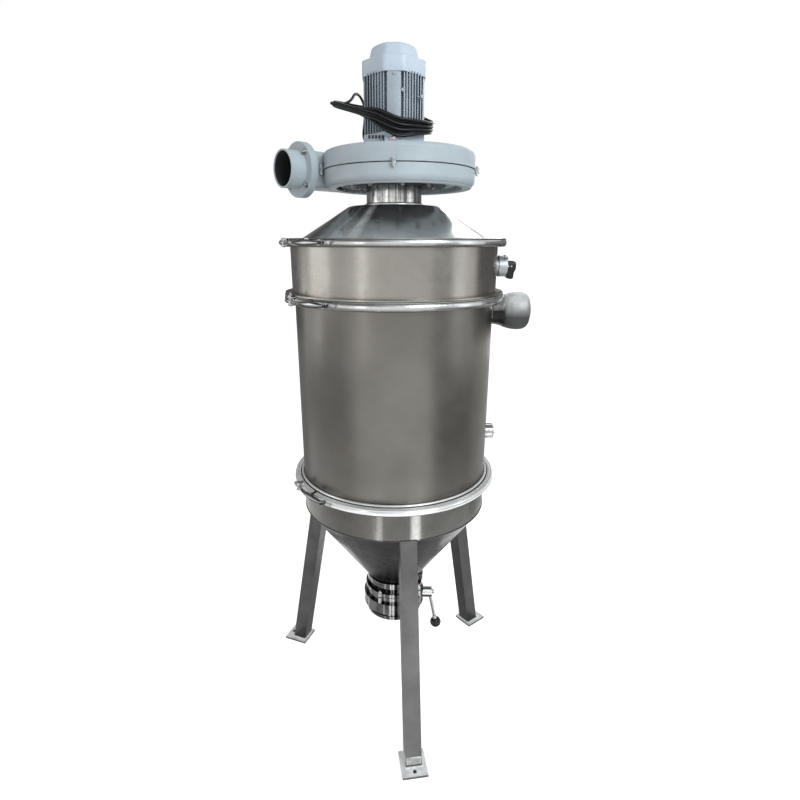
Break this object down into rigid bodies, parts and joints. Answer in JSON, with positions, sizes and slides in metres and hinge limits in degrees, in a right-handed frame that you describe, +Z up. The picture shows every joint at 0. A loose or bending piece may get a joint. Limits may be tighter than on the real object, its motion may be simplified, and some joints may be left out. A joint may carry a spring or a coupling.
{
  "type": "baghouse dust collector",
  "caption": "Free-standing baghouse dust collector: a clamped steel drum and hopper on splayed legs, a blower and motor on its lid and a lever butterfly valve below.",
  "frame": {"origin": "on the floor, at the centre of the circle through the three anchor holes, under the middle of the drum", "axes": "+Z up along the drum's axis, +X towards the dust inlet and the valve's lever, -Y towards the front leg's side"},
  "size_m": [0.8677, 0.795, 2.061],
  "materials": {
    "stainless_sheet": "satin stainless sheet",
    "bright_steel": "polished stainless fittings",
    "leg_tube": "satin square tube",
    "blower_paint": "light blue-grey paint on castings",
    "black_plastic": "black moulded plastic",
    "gasket_rubber": "black rubber",
    "cable_sheath": "black cable sheath",
    "wrapped_cap": "dark cap under clear film"
  },
  "bodies": {
    "vessel": {"leg_front": "leg_tube", "leg_right": "leg_tube", "leg_left": "leg_tube", "foot_plate_front": "bright_steel", "foot_plate_right": "bright_steel", "foot_plate_left": "bright_steel", "hopper": "stainless_sheet", "main_drum": "stainless_sheet", "upper_drum": "stainless_sheet", "lid": "stainless_sheet", "neck_pipe": "bright_steel", "clamp_band_top": "bright_steel", "clamp_band_middle": "bright_steel", "clamp_band_bottom": "bright_steel", "latch_bail_top": "bright_steel", "latch_bail_middle": "bright_steel", "latch_bail_bottom": "bright_steel", "outlet_clamp": "bright_steel", "valve_collar": "bright_steel", "valve_gasket": "gasket_rubber", "valve_ring": "bright_steel", "dust_spigot": "bright_steel", "inlet_pipe": "bright_steel", "inlet_cap": "wrapped_cap", "side_port": "bright_steel", "pulse_valve": "bright_steel", "pulse_valve_coil": "black_plastic", "casing_lower": "blower_paint", "casing_upper": "blower_paint", "suction_plate": "blower_paint", "discharge_collar": "blower_paint", "motor_base": "blower_paint", "motor_body": "blower_paint", "fan_cowl": "blower_paint", "terminal_box": "blower_paint", "cable_gland": "black_plastic", "power_cable": "cable_sheath", "cable_coil": "cable_sheath"},
    "outlet_flap": {"valve_disc": "bright_steel", "valve_lever": "bright_steel", "valve_knob": "black_plastic"},
    "latch_top": {"latch_lever_top": "bright_steel"},
    "latch_middle": {"latch_lever_middle": "bright_steel"},
    "latch_bottom": {"latch_lever_bottom": "bright_steel"}
  },
  "joints": [
    {"name": "outlet_flap_turn", "type": "hinge", "parent": "vessel", "child": "outlet_flap", "pos_m": [0, 0, 0.328], "axis": [-1, 0, 0], "range_deg": [0, 90]},
    {"name": "latch_top_open", "type": "hinge", "parent": "vessel", "child": "latch_top", "pos_m": [-0.18518, -0.28515, 1.557], "axis": [0, 0, 1], "range_deg": [0, 140]},
    {"name": "latch_middle_open", "type": "hinge", "parent": "vessel", "child": "latch_middle", "pos_m": [-0.18017, -0.28834, 1.402], "axis": [0, 0, 1], "range_deg": [0, 140]},
    {"name": "latch_bottom_open", "type": "hinge", "parent": "vessel", "child": "latch_bottom", "pos_m": [-0.21397, -0.26423, 0.833], "axis": [0, 0, 1], "range_deg": [0, 140]}
  ]
}
